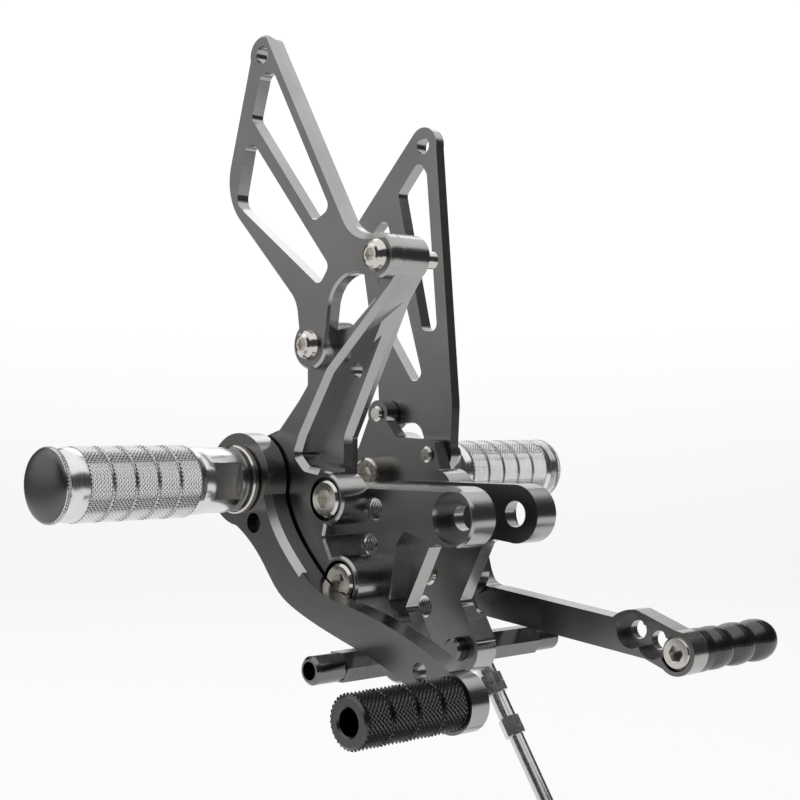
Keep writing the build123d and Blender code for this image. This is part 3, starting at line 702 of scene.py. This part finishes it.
class REARSET_OT_footpegs(bpy.types.Operator):
    """Turn the footpegs and their end caps, and knurl them"""

    bl_idname = "rearset.footpegs"
    bl_label = "Knurled footpegs"

    def execute(self, context):
        knurl = context.scene.rear_set_knurl
        low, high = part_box("brake_footpeg")
        centre = (low + high) / 2
        radius = (high.z - low.z) / 2
        peg = turn_footpeg(centre, radius, high.y, low.y, knurl)
        other = copy_piece(peg, "shift_knurled_peg", mirrored=True)
        stand_for(peg, "brake_footpeg", "frame_side")
        stand_for(other, "shift_footpeg", "frame_side")

        low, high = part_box("brake_peg_end_cap")
        cap = turn_end_cap(centre, radius, high.y, low.y, knurl)
        other = copy_piece(cap, "shift_knurled_cap", mirrored=True)
        stand_for(cap, "brake_peg_end_cap", "frame_side")
        stand_for(other, "shift_peg_end_cap", "frame_side")
        return {"FINISHED"}


class REARSET_OT_toe_pegs(bpy.types.Operator):
    """Knurl the brake toe peg and finish the ribbed shift toe peg"""

    bl_idname = "rearset.toe_pegs"
    bl_label = "Toe pegs"

    def execute(self, context):
        low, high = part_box("brake_toe_peg")
        radius = (high.z - low.z) / 2
        peg = turn_toe_peg((low + high) / 2, radius, high.y, low.y, context.scene.rear_set_knurl)
        stand_for(peg, "brake_toe_peg", "brake_lever")
        finish_nodes(black_dyed_anodising, ["shift_toe_peg"])
        return {"FINISHED"}


class REARSET_OT_threads(bpy.types.Operator):
    """Cut the threads of the open position holes"""

    bl_idname = "rearset.threads"
    bl_label = "Hole threads"

    def execute(self, context):
        low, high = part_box("brake_footpeg")
        axis = (low + high) / 2
        thread = wind_thread(context.scene.rear_set_knurl)
        for half in ("brake", "shift"):
            low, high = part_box(f"{half}_base_plate")
            for number, (x, z) in enumerate(POSITION_HOLES, start=1):
                move = (axis.x + x * MM, low.y + THREAD_INSET, axis.z + z * MM)
                copied = copy_piece(thread, f"{half}_position_thread_{number}", move)
                stand_for(copied, None, "frame_side")
        bpy.data.objects.remove(thread)
        return {"FINISHED"}


def white_studio_paper(name, studio):
    """White paper that shows as white to the camera and in reflections, and still takes a shadow."""
    finish, tree = new_finish(name)
    path = add_node(tree, "ShaderNodeLightPath")
    seen = add_node(tree, "ShaderNodeMath", {"operation": "MAXIMUM"}, {
        0: path.outputs["Is Camera Ray"], 1: path.outputs["Is Glossy Ray"],
    })
    through = add_node(tree, "ShaderNodeMath", {"operation": "MAXIMUM"}, {
        0: seen.outputs[0], 1: path.outputs["Is Transmission Ray"],
    })
    # The floor keeps more of its own shading than the backdrop, so that the set's shadow stays on it
    place = add_node(tree, "ShaderNodeTexCoord")
    height = add_node(tree, "ShaderNodeSeparateXYZ", inputs={"Vector": place.outputs["Object"]})
    rise = add_node(tree, "ShaderNodeMapRange", inputs={
        "Value": height.outputs["Z"], "From Max": 0.4, "To Min": 0.75, "To Max": 0.97,
    })
    share = add_node(tree, "ShaderNodeMath", {"operation": "MULTIPLY"}, {
        0: through.outputs[0], 1: rise.outputs["Result"],
    })
    matte = add_node(tree, "ShaderNodeBsdfPrincipled", inputs={
        "Base Color": opaque(studio.floor), "Roughness": 0.9,
    })
    glow = add_node(tree, "ShaderNodeEmission", inputs={
        "Color": opaque(studio.floor), "Strength": PAPER_GLOW,
    })
    mixed = add_node(tree, "ShaderNodeMixShader", inputs={
        0: share.outputs[0], 1: matte.outputs["BSDF"], 2: glow.outputs["Emission"],
    })
    add_node(tree, "ShaderNodeOutputMaterial", inputs={"Surface": mixed.outputs["Shader"]})
    return finish


def lay_paper(studio):
    """Lay a sheet of paper that runs under the set and curves up behind it."""
    bpy.ops.object.select_all(action="DESELECT")
    bpy.ops.mesh.primitive_plane_add(size=1, location=(0, 0, 0))
    paper = bpy.context.object
    paper.name = "paper_backdrop"
    bpy.ops.object.mode_set(mode="EDIT")
    bpy.ops.mesh.select_all(action="SELECT")
    bpy.ops.transform.resize(value=(PAPER_WIDTH, PAPER_DEPTH, 1))
    bpy.ops.transform.translate(value=(0, PAPER_SHIFT, 0))
    bpy.ops.object.mode_set(mode="OBJECT")
    behind = PAPER_DEPTH / 2
    pick(paper, "EDGE", lambda edge: all(paper.data.vertices[v].co.y > behind for v in edge.vertices))
    for step in range(CURVE_STEPS):
        turn = math.radians(90 * (step + 0.5) / CURVE_STEPS)
        value = (0, CURVE_STEP_LENGTH * math.cos(turn), CURVE_STEP_LENGTH * math.sin(turn))
        bpy.ops.mesh.extrude_edges_move(TRANSFORM_OT_translate={"value": value})
    bpy.ops.mesh.extrude_edges_move(TRANSFORM_OT_translate={"value": (0, 0, PAPER_WALL)})
    bpy.ops.mesh.select_all(action="SELECT")
    bpy.ops.mesh.normals_make_consistent(inside=False)
    bpy.ops.object.mode_set(mode="OBJECT")
    smooth(paper)
    paper.rotation_euler = (0, 0, VIEW_TURN)
    paper.location = (SET_MIDDLE.x, SET_MIDDLE.y, cad_box[0][2] - FLOOR_GAP)
    paper.data.materials.append(white_studio_paper("white_studio_paper", studio))


def hang_lamps(studio):
    """Hang a wide panel overhead and a soft lamp on the left, both turned to the set."""
    right = Vector((1, 1, 0)).normalized()
    overhead = SET_MIDDLE + Vector((0, 0, TOP_LAMP_HEIGHT))
    left = SET_MIDDLE - right * LEFT_LAMP_REACH + Vector((0, 0, LEFT_LAMP_HEIGHT))
    lamps = (
        ("top_lamp", overhead, TOP_LAMP_SIZE, studio.top_power),
        ("left_lamp", left, LEFT_LAMP_SIZE, studio.left_power),
    )
    for name, place, size, watts in lamps:
        bpy.ops.object.light_add(type="AREA", location=place)
        lamp = bpy.context.object
        lamp.name = name
        lamp.data.shape = "RECTANGLE"
        lamp.data.size, lamp.data.size_y = size
        lamp.data.energy = watts
        lamp.visible_camera = False
        lamp.rotation_euler = (SET_MIDDLE - place).to_track_quat("-Z", "Y").to_euler()


def paint_room(studio):
    """Paint the room grey around the lamps, and white where the camera looks past the paper."""
    world = bpy.data.worlds.new("studio_room")
    bpy.context.scene.world = world
    world.use_nodes = True
    tree = world.node_tree
    tree.nodes.clear()
    path = add_node(tree, "ShaderNodeLightPath")
    room = add_node(tree, "ShaderNodeBackground", inputs={"Color": opaque(studio.room)})
    white = add_node(tree, "ShaderNodeBackground", inputs={"Color": opaque(studio.floor)})
    mixed = add_node(tree, "ShaderNodeMixShader", inputs={
        0: path.outputs["Is Camera Ray"], 1: room.outputs["Background"], 2: white.outputs["Background"],
    })
    add_node(tree, "ShaderNodeOutputWorld", inputs={"Surface": mixed.outputs["Shader"]})


def set_camera(studio):
    """Set the camera level before the set, with its picture shifted up."""
    bpy.ops.object.camera_add(location=CAMERA_PLACE, rotation=(math.radians(90), 0, VIEW_TURN))
    camera = bpy.context.object
    camera.name = "photo_camera"
    camera.data.sensor_width = SENSOR_WIDTH
    camera.data.lens = studio.focal
    camera.data.shift_y = CAMERA_SHIFT
    camera.data.clip_start = 10 * MM
    bpy.context.scene.camera = camera


class REARSET_OT_stage(bpy.types.Operator):
    """Set the floor, the lamps, the room and the camera"""

    bl_idname = "rearset.stage"
    bl_label = "Studio"

    def execute(self, context):
        studio = context.scene.rear_set_studio
        lay_paper(studio)
        hang_lamps(studio)
        paint_room(studio)
        set_camera(studio)
        context.scene.view_settings.view_transform = "Standard"
        return {"FINISHED"}


class REARSET_PT_dresser(bpy.types.Panel):
    """Lists the steps that dress the rear sets"""

    bl_idname = "REARSET_PT_dresser"
    bl_label = "Rear set dresser"
    bl_space_type = "VIEW_3D"
    bl_region_type = "UI"
    bl_category = "Rear Sets"

    def draw(self, context):
        for step in STEPS:
            self.layout.operator(step.bl_idname)


STEPS = (
    REARSET_OT_plates, REARSET_OT_fasteners, REARSET_OT_footpegs, REARSET_OT_toe_pegs, REARSET_OT_threads,
    REARSET_OT_stage,
)
GROUPS = {
    "rear_set_finish": RearSetFinish, "rear_set_knurl": RearSetKnurl, "rear_set_studio": RearSetStudio,
}


def register():
    """Register the settings, the steps and the panel."""
    for name, group in GROUPS.items():
        bpy.utils.register_class(group)
        setattr(bpy.types.Scene, name, PointerProperty(type=group))
    for step in STEPS:
        bpy.utils.register_class(step)
    bpy.utils.register_class(REARSET_PT_dresser)


def unregister():
    """Take the panel, the steps and the settings away again."""
    bpy.utils.unregister_class(REARSET_PT_dresser)
    for step in reversed(STEPS):
        bpy.utils.unregister_class(step)
    for name, group in reversed(GROUPS.items()):
        delattr(bpy.types.Scene, name)
        bpy.utils.unregister_class(group)


def main():
    """Dress the set."""
    register()
    bpy.ops.rearset.plates()
    bpy.ops.rearset.fasteners()
    bpy.ops.rearset.footpegs()
    bpy.ops.rearset.toe_pegs()
    bpy.ops.rearset.threads()
    bpy.ops.rearset.stage()


if __name__ == "__main__":
    main()
